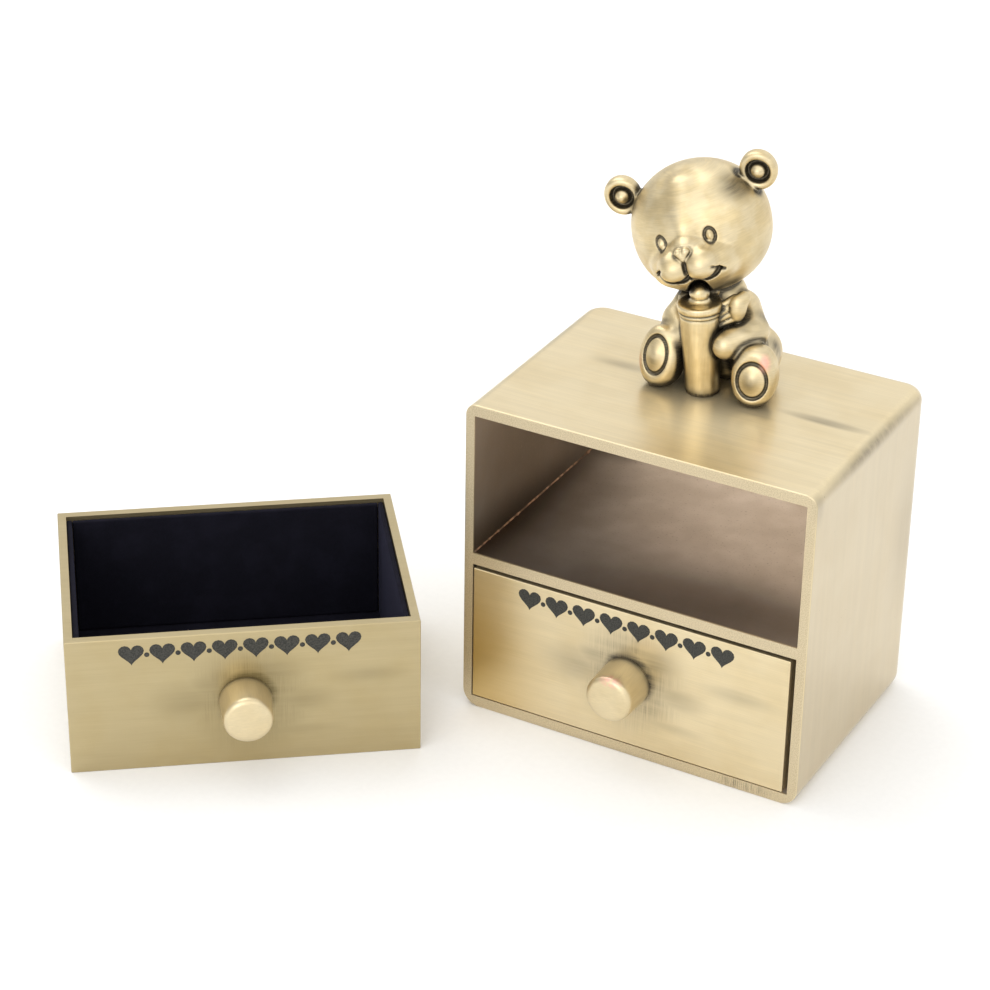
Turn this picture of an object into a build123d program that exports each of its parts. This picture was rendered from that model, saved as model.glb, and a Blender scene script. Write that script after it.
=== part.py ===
from build123d import *
import math
import os

os.makedirs("parts", exist_ok=True)

# A keepsake box for a baby's first tooth: a small cast cabinet with two drawers and a sitting bear
# on top. Millimetres. X is to the right, Y to the back, Z up, with zero at the centre of the base.
# One drawer is in its bay, the other stands beside the cabinet.

overrun = 1.0  # how far every cut runs past the face that it opens
ball_seam_turn = 90.0  # puts the seam of every ball at its back

# Cabinet, one casting with a closed back
cabinet_width = 64.0
cabinet_depth = 46.0
cabinet_height = 59.2
side_wall = 1.75
top_wall = 2.05
bottom_wall = 2.1
back_wall = 1.75
top_edge_radius = 2.1
bottom_edge_radius = 3.2
back_corner_radius = 3.8
front_edge_radius = 0.25
lower_bay_height = 26.55
shelf_thickness = 2.15

# Drawers, two alike
drawer_side_clearance = 0.55
drawer_top_clearance = 0.75
drawer_back_clearance = 0.2
drawer_running_clearance = 0.1
drawer_side_wall = 1.5
drawer_end_wall = 1.65
drawer_floor = 1.6
drawer_edge_radius = 0.2
lower_drawer_shift_share = -0.7273  # of the side clearance, to the left
standing_drawer_turn = 37.6
standing_gap = 0.8
standing_front_distance = 34.5

# Knob and the screw that holds it
knob_base_radius = 4.5
knob_end_radius = 4.2
knob_length = 7.0
knob_edge_radius = 0.7
knob_height_share = 0.48
screw_radius = 1.25
screw_length = 5.4
screw_head_radius = 2.3
screw_head_height = 1.1
screw_slot_width = 0.5
screw_slot_depth = 0.5
screw_clearance = 0.1
screw_tip_clearance = 0.85

# Lining panels, covered card pushed into each drawer
lining_thickness = 0.9
lining_drop = 0.6
lining_clearance = 0.1

# Bear: where it sits, from the centre of the top
bear_seat_x = 0.3
bear_seat_y = 12.0
body_height = 17.0
head_radius = 11.85
head_turn = 12.0
head_tilt = -19.0
bear_screw_radius = 1.5
bear_screw_depth = 5.0
bear_screw_head_radius = 2.8
bear_screw_head_height = 1.5
bear_screw_spacing = 6.0
bear_screw_tip_clearance = 0.5

# Bear's trunk and thighs, as shares of body_height: centres or joints from the seat, sizes, radii
hips_centre_shares = (-0.018, -0.018, 0.282)
hips_size_shares = (0.412, 0.412, 0.40)
chest_centre_shares = (-0.135, -0.094, 0.671)
chest_size_shares = (0.306, 0.312, 0.424)
thigh_shares = ((0.30, -0.106, 0.288), (0.47, -0.459, 0.30))
thigh_radius_shares = (0.276, 0.241)

# Bear's feet, as shares of body_height: each with a grooved oval pad on its sole
left_foot_shares = (-0.456, -0.659, 0.291)
right_foot_shares = (0.482, -0.618, 0.303)
foot_radius_share = 0.315
foot_thickness_share = 0.282
foot_width_share = 0.74  # of its height
foot_pad_share = 0.64
foot_turn = 10.0
left_foot_lean = -14.0
right_foot_lean = -8.0

# Bear's arms, as shares of body_height: shoulder, elbow and hand, with their radii
left_arm_shares = ((0.153, -0.129, 0.753), (0.341, -0.388, 0.629), (0.188, -0.653, 0.529))
right_arm_shares = ((-0.335, -0.188, 0.765), (-0.418, -0.388, 0.576), (-0.265, -0.576, 0.541))
arm_radius_shares = (0.188, 0.171, 0.126)

# Bow under the chin, as shares of body_height: its knot, its stretch and its two ends
bow_knot_shares = (-0.106, -0.382, 0.976)
bow_radius_shares = (0.094, 0.06)
bow_end_shares = (
    ((0.241, -0.471, 0.918), (0.103, 0.088, 0.159)),
    ((-0.329, -0.453, 0.859), (0.082, 0.076, 0.088)),
)

# Bear's head: its centre from the seat
head_place_shares = (-0.345, -0.15)  # of body_height
head_rise_share = 0.919  # of body_height and head_radius together

# Features of the head, across, forward and up, as shares of head_radius: centres, then half sizes
skull_size_shares = (1.0, 0.886, 0.903)
jaw_centre_shares = (0.0, 0.101, -0.253)
jaw_size_shares = (0.886, 0.785, 0.675)
muzzle_centre_shares = (0.0, 0.692, -0.295)
muzzle_size_shares = (0.624, 0.439, 0.388)
lip_centre_shares = (0.207, 0.962, -0.266)
lip_size_shares = (0.245, 0.245, 0.211)
chin_centre_shares = (0.0, 0.54, -0.565)
chin_size_shares = (0.388, 0.329, 0.203)
brow_centre_shares = (0.0, 0.793, 0.194)
brow_size_shares = (0.177, 0.211, 0.211)
nose_centre_shares = (0.0, 1.038, 0.02)
nose_size_shares = (0.114, 0.127, 0.084)
eye_socket_centre_shares = (0.367, 0.835, 0.11)
eye_socket_size_shares = (0.105, 0.093, 0.131)
eye_centre_shares = (0.367, 0.789, 0.11)
eye_size_shares = (0.07, 0.113, 0.1)
smile_shares = (
    (0.447, 1.004, -0.329),
    (0.363, 1.025, -0.422),
    (0.219, 1.055, -0.473),
    (0.076, 1.084, -0.464),
)
smile_radius_shares = (0.022, 0.028, 0.032, 0.036)
ear_centre_shares = (1.017, 0.0, 0.599)
ear_radius_share = 0.287
ear_width_share = 0.926  # of its height
ear_thickness_share = 0.245
ear_pad_share = 0.42

# Grooved pads, for soles and ears alike, as shares of the rim's radius
pad_rise_share = 0.12
groove_width_share = 0.12
groove_depth_share = 0.16
pad_back_share = 0.72

# Feeding bottle that the bear holds, as shares of body_height unless noted
bottle_seat_shares = (-0.0235, -0.637)
bottle_radius_share = 0.201
bottle_height_share = 0.829
bottle_base_share = 0.85  # of the radius at its top
bottle_ring_shares = ((1.053, 0.047), (1.11, 0.088))  # radius, of the bottle's, then height
bottle_cap_radius_shares = (0.76, 0.35)  # of the bottle's
bottle_cap_share = 0.112
teat_radius_share = 0.09
teat_neck_share = 0.65  # of the teat's radius
bottle_lean = -5.0
bottle_edge_radius = 0.4
bottle_ring_edge = 0.2

# Sizes that follow from the ones above
bay_width = cabinet_width - 2 * side_wall
bay_depth = cabinet_depth - back_wall
upper_bay_floor = bottom_wall + lower_bay_height + shelf_thickness
drawer_width = bay_width - 2 * drawer_side_clearance
drawer_depth = bay_depth - drawer_back_clearance
drawer_height = lower_bay_height - drawer_running_clearance - drawer_top_clearance
knob_height = knob_height_share * drawer_height
knob_hole_depth = screw_length - drawer_end_wall + screw_tip_clearance
lower_drawer_side_shift = lower_drawer_shift_share * drawer_side_clearance
standing_lean = math.radians(standing_drawer_turn)
standing_drawer_x = (
    -drawer_width / 2
    - abs(lower_drawer_side_shift)
    - standing_gap
    - drawer_width / 2 * math.cos(standing_lean)
)
standing_drawer_y = -cabinet_depth / 2 - standing_front_distance
seat = Vector(bear_seat_x, bear_seat_y, cabinet_height)


def block(low, high):
    """A box between two corners."""
    size = [b - a for a, b in zip(low, high)]
    return Pos(*low) * Box(*size, align=(Align.MIN, Align.MIN, Align.MIN))


def scaled(shares, size):
    """A point or a set of half sizes from its shares."""
    return tuple(share * size for share in shares)


def mirrored(shares):
    """The same place on the other side."""
    return (-shares[0], *shares[1:])


def egg(centre, half_sizes):
    """An ellipsoid."""
    return Pos(*centre) * scale(Sphere(1), by=half_sizes)


def ball(centre, radius):
    """A sphere with its seam at the back."""
    return Pos(*centre) * Rot(0, 0, ball_seam_turn) * Sphere(radius)


def limb(points, radii):
    """Round stretches from joint to joint, each a cone between two balls."""
    solid = ball(points[0], radii[0])
    for (start, end), (first, last) in zip(zip(points, points[1:]), zip(radii, radii[1:])):
        way = Vector(*end) - Vector(*start)
        stretch = Solid.make_cone(first, last, way.length, Plane(origin=start, z_dir=way))
        solid = solid + stretch + ball(end, last)
    return solid


def grooved_disc(radius, thickness, pad_share):
    """A thick rounded disc facing -Y, with a raised pad inside a groove on its face."""
    pad = pad_share * radius
    rise = pad_rise_share * radius
    groove = groove_width_share * radius
    depth = groove_depth_share * radius
    rim = (radius - pad - groove) / 2
    with BuildSketch(Plane.XY) as half:
        with BuildLine():
            Line((0, thickness), (0, -rise))
            ThreePointArc((0, -rise), (pad * math.sqrt(0.5), -rise / 2), (pad, depth))
            Line((pad, depth), (pad + groove, depth))
            ThreePointArc((pad + groove, depth), (pad + groove + rim, 0), (radius, depth + rim / 2))
            Line((radius, depth + rim / 2), (radius * pad_back_share, thickness))
            Line((radius * pad_back_share, thickness), (0, thickness))
        make_face()
    return revolve(half.sketch, Axis.Y)


def make_casing():
    """The cabinet: a rounded box with a closed back and one deep pocket."""
    half_width = cabinet_width / 2
    with BuildSketch() as plan:
        Rectangle(cabinet_width, cabinet_depth)
        fillet(plan.vertices().sort_by(Axis.Y)[2:], back_corner_radius)
    shell = extrude(plan.sketch, cabinet_height)
    for end, radius in ((0, bottom_edge_radius), (-1, top_edge_radius)):
        round_edges = shell.faces().sort_by(Axis.Z)[end].edges().sort_by(Axis.Y)[1:]
        shell = fillet(round_edges, radius)
    front_edges = shell.faces().sort_by(Axis.Y)[0].edges()
    shell = fillet(front_edges, front_edge_radius)
    pocket = block(
        (side_wall - half_width, -cabinet_depth / 2 - overrun, bottom_wall),
        (half_width - side_wall, cabinet_depth / 2 - back_wall, cabinet_height - top_wall),
    )
    return shell - pocket - make_bear_screws(screw_clearance)


def make_shelf():
    """The plate between the bays, soldered to the walls on three sides."""
    return block(
        (-bay_width / 2, -cabinet_depth / 2, bottom_wall + lower_bay_height),
        (bay_width / 2, cabinet_depth / 2 - back_wall, upper_bay_floor),
    )


def make_tray():
    """One drawer's metal box, with its front face on Y = 0 and its underside on Z = 0."""
    tray = block((-drawer_width / 2, 0, 0), (drawer_width / 2, drawer_depth, drawer_height))
    tray = fillet(tray.edges(), drawer_edge_radius)
    pocket = block(
        (drawer_side_wall - drawer_width / 2, drawer_end_wall, drawer_floor),
        (drawer_width / 2 - drawer_side_wall, drawer_depth - drawer_end_wall, drawer_height + overrun),
    )
    return tray - pocket - make_knob_screw(screw_clearance)


def make_knob():
    """A turned knob, slightly tapered, with a blind hole for its screw."""
    with BuildSketch(Plane.XY) as half:
        Polygon(
            (0, 0), (knob_base_radius, 0), (knob_end_radius, -knob_length), (0, -knob_length), align=None
        )
        corner = half.vertices().sort_by(Axis.Y)[:2].sort_by(Axis.X)[-1]
        fillet(corner, knob_edge_radius)
    knob = revolve(half.sketch, Axis.Y)
    hole = Pos(0, -knob_hole_depth, 0) * Rot(-90, 0, 0) * Cylinder(
        screw_radius, knob_hole_depth + overrun, align=(Align.CENTER, Align.CENTER, Align.MIN)
    )
    return Pos(0, 0, knob_height) * (knob - hole)


def countersunk_screw(radius, head_radius, head_height, length, extra=0):
    """A screw whose flat head faces +Z at Z = 0. Extra makes the hole that it passes through."""
    cone = Pos(0, 0, -head_height) * Cone(
        radius + extra, head_radius + extra, head_height, align=(Align.CENTER, Align.CENTER, Align.MIN)
    )
    shank = Pos(0, 0, -length) * Cylinder(
        radius + extra, length, align=(Align.CENTER, Align.CENTER, Align.MIN)
    )
    screw = cone + shank
    if extra:
        return screw
    slot = block(
        (-head_radius - overrun, -screw_slot_width / 2, -screw_slot_depth),
        (head_radius + overrun, screw_slot_width / 2, overrun),
    )
    return screw - slot


def make_knob_screw(extra=0):
    """The screw through the drawer's front, its head flush with the inside."""
    length = screw_length if not extra else drawer_end_wall + overrun
    screw = countersunk_screw(screw_radius, screw_head_radius, screw_head_height, length, extra)
    return Pos(0, drawer_end_wall, knob_height) * Rot(-90, 0, 0) * screw


def make_lining():
    """Five panels that line a drawer: the floor, then four walls that stand on it."""
    half_width = drawer_width / 2 - drawer_side_wall - lining_clearance
    front = drawer_end_wall + lining_clearance
    back = drawer_depth - drawer_end_wall - lining_clearance
    floor_top = drawer_floor + lining_thickness
    wall_foot = floor_top + lining_clearance
    wall_top = drawer_height - lining_drop
    inside = half_width - lining_thickness
    between = inside - lining_clearance
    return {
        "lining_floor": block((-half_width, front, drawer_floor), (half_width, back, floor_top)),
        "lining_left": block((-half_width, front, wall_foot), (-inside, back, wall_top)),
        "lining_right": block((inside, front, wall_foot), (half_width, back, wall_top)),
        "lining_front": block((-between, front, wall_foot), (between, front + lining_thickness, wall_top)),
        "lining_back": block((-between, back - lining_thickness, wall_foot), (between, back, wall_top)),
    }


def make_bear_screws(extra=0):
    """Two screws up through the top, heads flush with the roof of the upper bay."""
    length = bear_screw_depth + top_wall
    if extra:
        length = top_wall + overrun
    screw = countersunk_screw(
        bear_screw_radius, bear_screw_head_radius, bear_screw_head_height, length, extra
    )
    roof = cabinet_height - top_wall
    upward = Rot(180, 0, 0) * screw
    left = Pos(bear_seat_x - bear_screw_spacing / 2, bear_seat_y, roof) * upward
    right = Pos(bear_seat_x + bear_screw_spacing / 2, bear_seat_y, roof) * upward
    return Compound(children=[left, right])


def from_seat(shares):
    """A place on the bear's body, in the part's frame."""
    return tuple(seat + Vector(*scaled(shares, body_height)))


def make_bottle():
    """The feeding bottle: a tapered body, ringed collar, low cap and round teat."""
    radius = bottle_radius_share * body_height
    height = bottle_height_share * body_height
    teat_radius = teat_radius_share * body_height
    with BuildSketch(Plane.XZ) as half:
        Polygon(
            (0, 0), (radius * bottle_base_share, 0), (radius, height), (0, height), align=None
        )
        corner = half.vertices().sort_by(Axis.Z)[:2].sort_by(Axis.X)[-1]
        fillet(corner, bottle_edge_radius)
    bottle = revolve(half.sketch, Axis.Z)
    top = height
    for ring_radius_share, ring_height_share in bottle_ring_shares:
        ring = Cylinder(
            radius * ring_radius_share,
            ring_height_share * body_height,
            align=(Align.CENTER, Align.CENTER, Align.MIN),
        )
        bottle = bottle + Pos(0, 0, top) * chamfer(ring.edges(), bottle_ring_edge)
        top += ring_height_share * body_height
    cap_height = bottle_cap_share * body_height
    cap = Cone(
        *scaled(bottle_cap_radius_shares, radius),
        cap_height,
        align=(Align.CENTER, Align.CENTER, Align.MIN),
    )
    teat = ball((0, 0, top + cap_height + teat_radius * teat_neck_share), teat_radius)
    bottle = bottle + Pos(0, 0, top) * cap + teat
    place = Pos(*from_seat((*bottle_seat_shares, 0)))
    leaned = place * Rot(0, bottle_lean, 0) * Pos(0, 0, -bottle_edge_radius) * bottle
    return leaned - below_seat()


def below_seat():
    """All that lies under the cabinet's top, where the bear's pieces are cut flat."""
    reach = cabinet_width / 2
    return block(
        (-reach, -reach, cabinet_height - reach),
        (reach, reach, cabinet_height),
    )


def make_head(bottle):
    """The head: skull, jaw, muzzle, lips, nose, set-in eyes, a smile and two cupped ears."""

    def feature(centre_shares, size_shares):
        across, forward, up = scaled(centre_shares, head_radius)
        return egg((across, -forward, up), scaled(size_shares, head_radius))

    head = feature((0, 0, 0), skull_size_shares) + feature(jaw_centre_shares, jaw_size_shares)
    head = head + feature(chin_centre_shares, chin_size_shares)
    head = head + feature(muzzle_centre_shares, muzzle_size_shares)
    head = head + feature(brow_centre_shares, brow_size_shares)
    for side in (lip_centre_shares, mirrored(lip_centre_shares)):
        head = head + feature(side, lip_size_shares)
    head = head + feature(nose_centre_shares, nose_size_shares)
    for side in (eye_socket_centre_shares, mirrored(eye_socket_centre_shares)):
        head = head - feature(side, eye_socket_size_shares)
    for side in (eye_centre_shares, mirrored(eye_centre_shares)):
        head = head + feature(side, eye_size_shares)
    radius = head_radius * ear_radius_share
    thickness = head_radius * ear_thickness_share
    ear = scale(grooved_disc(radius, thickness, ear_pad_share), by=(ear_width_share, 1, 1))
    for side in (1, -1):
        smile = [scaled((side * x, -forward, up), head_radius) for x, forward, up in smile_shares]
        head = head - limb(smile, scaled(smile_radius_shares, head_radius))
        across, forward, up = scaled(ear_centre_shares, head_radius)
        head = head + Pos(side * across, -forward - thickness / 2, up) * ear
    middle = from_seat((*head_place_shares, 0))
    rise = head_rise_share * (body_height + head_radius)
    placed = Pos(*middle) * Pos(0, 0, rise) * Rot(0, 0, head_turn) * Rot(0, head_tilt, 0) * head
    return placed - bottle


def make_body(head, bottle):
    """The trunk, thighs, feet and arms, cut by the head and the bottle that they hold."""
    body = egg(from_seat(hips_centre_shares), scaled(hips_size_shares, body_height))
    body = body + egg(from_seat(chest_centre_shares), scaled(chest_size_shares, body_height))
    for side in (1, -1):
        joints = [from_seat((side * x, y, z)) for x, y, z in thigh_shares]
        body = body + limb(joints, scaled(thigh_radius_shares, body_height))
    thickness = body_height * foot_thickness_share
    foot = grooved_disc(body_height * foot_radius_share, thickness, foot_pad_share)
    foot = Pos(0, -thickness / 2, 0) * scale(foot, by=(foot_width_share, 1, 1))
    for centre_shares, turn, lean in (
        (left_foot_shares, -foot_turn, left_foot_lean),
        (right_foot_shares, foot_turn, right_foot_lean),
    ):
        body = body + Pos(*from_seat(centre_shares)) * Rot(0, 0, turn) * Rot(lean, 0, 0) * foot
    for arm_shares in (left_arm_shares, right_arm_shares):
        joints = [from_seat(joint) for joint in arm_shares]
        body = body + limb(joints, scaled(arm_radius_shares, body_height))
    knot = from_seat(bow_knot_shares)
    for centre_shares, size_shares in bow_end_shares:
        end = from_seat(centre_shares)
        body = body + limb([knot, end], scaled(bow_radius_shares, body_height))
        body = body + egg(end, scaled(size_shares, body_height))
    body = body - below_seat() - head - bottle
    holes = [
        Pos(bear_seat_x + side * bear_screw_spacing / 2, bear_seat_y, cabinet_height - overrun)
        * Cylinder(
            bear_screw_radius,
            overrun + bear_screw_depth + bear_screw_tip_clearance,
            align=(Align.CENTER, Align.CENTER, Align.MIN),
        )
        for side in (1, -1)
    ]
    return body - holes


def make_drawer():
    """Every piece of one drawer, before it is put in its place."""
    pieces = {"tray": make_tray(), "knob": make_knob(), "knob_screw": make_knob_screw()}
    pieces.update(make_lining())
    return pieces


def save(name, shape):
    """Write one node's file."""
    export_step(shape, f"parts/{name}.step")


bottle = make_bottle()
head = make_head(bottle)
body = make_body(head, bottle)
save("cabinet_casing", make_casing())
save("divider_shelf", make_shelf())
save("bear_body", body)
save("bear_head", head)
save("feeding_bottle", bottle)
save("bear_fixing_screws", make_bear_screws())

lower_place = Pos(
    lower_drawer_side_shift, -cabinet_depth / 2, bottom_wall + drawer_running_clearance
)
upper_place = Pos(standing_drawer_x, standing_drawer_y, 0) * Rot(0, 0, standing_drawer_turn)
for piece_name, piece in make_drawer().items():
    save(f"lower_{piece_name}", lower_place * piece)
    save(f"upper_{piece_name}", upper_place * piece)
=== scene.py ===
import math

import bmesh
import bpy
import numpy as np
from mathutils import Matrix, Vector


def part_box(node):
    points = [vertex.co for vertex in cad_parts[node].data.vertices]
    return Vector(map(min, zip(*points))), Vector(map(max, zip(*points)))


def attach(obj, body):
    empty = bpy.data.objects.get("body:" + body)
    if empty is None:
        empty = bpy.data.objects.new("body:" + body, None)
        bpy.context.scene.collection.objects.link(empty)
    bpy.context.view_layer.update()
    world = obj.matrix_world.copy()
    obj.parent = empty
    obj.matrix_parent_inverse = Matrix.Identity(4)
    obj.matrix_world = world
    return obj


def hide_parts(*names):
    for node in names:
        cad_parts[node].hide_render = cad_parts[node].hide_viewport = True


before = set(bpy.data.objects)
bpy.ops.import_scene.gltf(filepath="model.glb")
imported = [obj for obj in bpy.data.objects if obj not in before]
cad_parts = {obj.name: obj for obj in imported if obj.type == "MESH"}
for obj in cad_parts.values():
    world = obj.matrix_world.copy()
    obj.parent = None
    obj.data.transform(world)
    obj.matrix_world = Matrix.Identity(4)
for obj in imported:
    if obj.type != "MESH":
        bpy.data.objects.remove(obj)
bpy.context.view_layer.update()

# A keepsake box for a first tooth: cast brass cabinet, two flock-lined drawers, a bear with a bottle.
# Blender works in metres; the maker's sizes here are in millimetres and become metres in toMesh.
mm = 0.001
seed = 7

view = {
    "place": (192.37, -420.19, 296.75),
    "turn": -28.82,      # degrees from straight ahead, to the left
    "tilt": -29.21,      # degrees below level
    "roll": 0.91,
    "lens": 112.45,
    "sensor": 36.0,
    "clip": (0.02, 10),  # in metres
}

casingLow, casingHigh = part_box("cabinet_casing")
shelfLow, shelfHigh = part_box("divider_shelf")
trayLow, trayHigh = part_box("lower_tray")
knobLow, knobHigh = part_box("lower_knob")
topHeight = casingHigh.z / mm
trayWidth, trayDepth, trayHeight = (trayHigh - trayLow) / mm
knobHeight = (knobLow.z + knobHigh.z) / 2 / mm - trayLow.z / mm    # its middle above the tray's underside


def place(name, data):
    made = bpy.data.objects.new(name, data)
    bpy.context.scene.collection.objects.link(made)
    return made


def setCamera():
    turn, tilt, roll = (math.radians(view[k]) for k in ("turn", "tilt", "roll"))
    ahead = Vector((math.sin(turn) * math.cos(tilt), math.cos(turn) * math.cos(tilt), math.sin(tilt)))
    right = ahead.cross(Vector((0, 0, 1))).normalized()
    up = right.cross(ahead)
    rolledRight = math.cos(roll) * right + math.sin(roll) * up
    rolledUp = -math.sin(roll) * right + math.cos(roll) * up
    data = bpy.data.cameras.new("camera")
    data.lens, data.sensor_width = view["lens"], view["sensor"]
    data.clip_start, data.clip_end = view["clip"]
    camera = place("camera", data)
    axes = Matrix((rolledRight, rolledUp, -ahead)).transposed().to_4x4()
    camera.matrix_world = Matrix.Translation(Vector(view["place"]) * mm) @ axes
    bpy.context.scene.camera = camera


setCamera()

# Shader trees: a Value is what a node gives out, so that sums of shades can be written as sums


class Value:
    def __init__(self, socket):
        self.socket = socket

    def __add__(self, other):
        return calc("ADD", self, other)

    def __sub__(self, other):
        return calc("SUBTRACT", self, other)

    def __mul__(self, other):
        return calc("MULTIPLY", self, other)


def treeOf(*values):
    return next(v.socket.id_data for v in values if isinstance(v, Value))


def add(tree, kind, inputs=None, **settings):
    made = tree.nodes.new(kind)
    for key, value in settings.items():
        setattr(made, key, value)
    for key, value in (inputs or {}).items():
        if isinstance(value, Value):
            value = value.socket
        if isinstance(value, bpy.types.NodeSocket):
            tree.links.new(value, made.inputs[key])
        else:
            made.inputs[key].default_value = value
    return made


def calc(operation, a, b=0.0, clamp=False):
    made = add(treeOf(a, b), "ShaderNodeMath", {0: a, 1: b}, operation=operation, use_clamp=clamp)
    return Value(made.outputs[0])


def vector(operation, a, b=(0, 0, 0), result=0):
    return Value(add(treeOf(a), "ShaderNodeVectorMath", {0: a, 1: b}, operation=operation).outputs[result])


def parts(v):
    return [Value(socket) for socket in add(treeOf(v), "ShaderNodeSeparateXYZ", {"Vector": v}).outputs]


def spun(v, rotation, kind="POINT"):
    made = add(treeOf(v), "ShaderNodeMapping", {"Vector": v, "Rotation": rotation}, vector_type=kind)
    return Value(made.outputs[0])


def fade(value, low, high, start=0.0, end=1.0):
    # goes smoothly from start to end as the value goes from low to high
    made = add(treeOf(value), "ShaderNodeMapRange", {"Value": value, "From Min": low, "From Max": high,
                                                     "To Min": start, "To Max": end},
               interpolation_type="SMOOTHSTEP")
    return Value(made.outputs["Result"])


def blend(share, a, b):
    return Value(add(treeOf(share), "ShaderNodeMix", {0: share, 2: a, 3: b}).outputs[0])


def mix(share, a, b, kind="MIX"):
    # the same for colours
    made = add(treeOf(share, a, b), "ShaderNodeMix", {0: share, 6: a, 7: b}, data_type="RGBA",
               blend_type=kind)
    return Value(made.outputs[2])


def shaded(colour, value):
    grey = add(treeOf(value), "ShaderNodeCombineColor", {"Red": value, "Green": value, "Blue": value})
    return mix(1.0, colour, Value(grey.outputs[0]), "MULTIPLY")


def noise(at, size, detail=2.0, rough=0.5):
    # a grain of a size in millimetres: one number, or one along each axis
    sizes = size if isinstance(size, (tuple, list)) else [size] * 3
    scaled = vector("MULTIPLY", at, [1 / (s * mm) for s in sizes])
    return Value(add(treeOf(at), "ShaderNodeTexNoise", {
        "Vector": scaled, "Scale": 1.0, "Detail": detail, "Roughness": rough}).outputs["Fac"])


def lines(at, along, length, thickness, detail=2.0):
    # streaks that run along one axis: long that way and thin the others
    sizes = [thickness] * 3
    sizes[along] = length
    return noise(at, sizes, detail)


def spot(at, centre, radii):
    # one in the middle of an egg-shaped patch, nothing at its edge, in millimetres
    off = vector("SUBTRACT", at, [v * mm for v in centre])
    near = vector("MULTIPLY", off, [1 / (r * mm) for r in radii])
    return fade(vector("LENGTH", near, result="Value"), 0.0, 1.0, 1.0, 0.0)


def halo(at, centre, radius, reach):
    # one round a knob's foot on a drawer's front, nothing beyond the reach
    off = vector("SUBTRACT", at, [v * mm for v in centre])
    far = vector("LENGTH", vector("MULTIPLY", off, (1, 0, 1)), result="Value")
    here = fade(calc("ABSOLUTE", parts(off)[1]), 0.5 * mm, 1.0 * mm, 1.0, 0.0)
    return here * fade(far, (radius - 1) * mm, reach * mm, 1.0, 0.0)


def strongest(values):
    most = values[0]
    for value in values[1:]:
        most = calc("MAXIMUM", most, value)
    return most


def relief(height, strength, depth=0.02):
    return Value(add(treeOf(height), "ShaderNodeBump", {
        "Strength": strength, "Distance": depth * mm, "Height": height}).outputs[0])


def newMaterial(name):
    # with where a point is on the piece and which way its surface faces
    material = bpy.data.materials.new(name)
    material.use_nodes = True
    material.node_tree.nodes.clear()
    coords = add(material.node_tree, "ShaderNodeTexCoord").outputs
    return material, Value(coords["Object"]), Value(coords["Normal"])


def paint(material, colour, rough, **more):
    # more: the shader's other inputs, with _ for the spaces in their names
    inputs = {"Base Color": colour, "Roughness": rough}
    inputs.update((key.replace("_", " "), value) for key, value in more.items())
    shader = add(material.node_tree, "ShaderNodeBsdfPrincipled", inputs)
    add(material.node_tree, "ShaderNodeOutputMaterial", {"Surface": shader.outputs[0]})
    return material


def grainy(name, size, colours, spread=(0.3, 0.7), rough=0.5, bump=(0.3, 0.03), **more):
    # a plain material whose grain goes between two colours; rough: a number, or one for each of them
    material, at, _ = newMaterial(name)
    grain = noise(at, size, 3.0)
    if isinstance(rough, tuple):
        rough = fade(grain, 0.3, 0.7, *rough)
    return paint(material, mix(fade(grain, *spread), *colours), rough, Normal=relief(grain, *bump), **more)


brass = {
    "bright": (0.755, 0.635, 0.405, 1),
    "warm": (0.69, 0.555, 0.315, 1),
    "patinaAndShade": (0.105, 0.092, 0.068, 1),
    "copper": (0.86, 0.47, 0.36, 1),
    "rough": 0.30,
    "metallic": 0.80,
    "coat": 0.25,
    "coatRough": 0.12,
    # thickness of a brush's fine scratches and of its broad bands, and the size of a warm patch
    "scratch": 0.13,
    "band": 1.3,
    "blotch": 9,
    "relief": 0.16,
}


def brushedBrass(name, brushes, patches, turn=0.0, tone=1.0, rough=brass["rough"], halos=(), special=None):
    # brushes: the normal's axis where they apply, the axis the lines run along, how long they are
    material, at, facing = newMaterial(name)
    if turn:
        at, facing = (spun(v, (0, 0, -turn)) for v in (at, facing))
    sides = parts(facing)
    fine = broad = None
    for side, along, length in brushes:
        thin = lines(at, along, length, brass["scratch"], 3.0)
        wide = lines(at, along, length * 2, brass["band"])
        if fine is None:
            fine, broad = thin, wide
            continue
        here = fade(calc("ABSOLUTE", sides[side]), 0.55, 0.8)
        fine, broad = blend(here, fine, thin), blend(here, broad, wide)
    blotch = noise(at, brass["blotch"], 3.0)
    colour = mix(fade(blotch, 0.35, 0.75, 0.0, 0.6), brass["bright"], brass["warm"])
    value = fade(broad, 0.3, 0.75, 0.965, 1.02) * fade(fine, 0.25, 0.75, 0.94, 1.025) * tone
    # darker patches and halos, some of them painted shade, go towards the patina colour
    shadeAndStains = [spot(at, centre, radii) * strength for centre, radii, strength in patches]
    upright = lines(at, 2, 7, 0.16, 3.0)
    for centre, radius, reach, strength in halos:
        streaks = fade(upright, 0.25, 0.7, strength * 0.9, 1.15)
        shadeAndStains.append(halo(at, centre, radius, reach) * strength * streaks)
    ragged = fade(broad, 0.25, 0.7, 0.6, 1.1) * fade(fine, 0.2, 0.7, 0.75, 1.1)
    shadeAndStain = calc("MULTIPLY", strongest(shadeAndStains), ragged, clamp=True)
    colour = shaded(mix(shadeAndStain, colour, brass["patinaAndShade"]), value)
    roughness = fade(fine, 0.2, 0.8, rough - 0.02, rough + 0.05) + shadeAndStain * 0.12
    metallic = brass["metallic"]
    if special:
        colour, roughness, metallic = special(at, sides, colour, roughness)
    return paint(material, colour, roughness, Metallic=metallic, Coat_Weight=brass["coat"],
                 Coat_Roughness=brass["coatRough"], Normal=relief(fine + broad * 0.4, brass["relief"]))


def dress(name, material):
    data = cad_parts[name].data
    data.materials.clear()
    data.materials.append(material)


def around(count):
    # that many angles, evenly
    return [2 * math.pi * k / count for k in range(count)]


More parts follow.
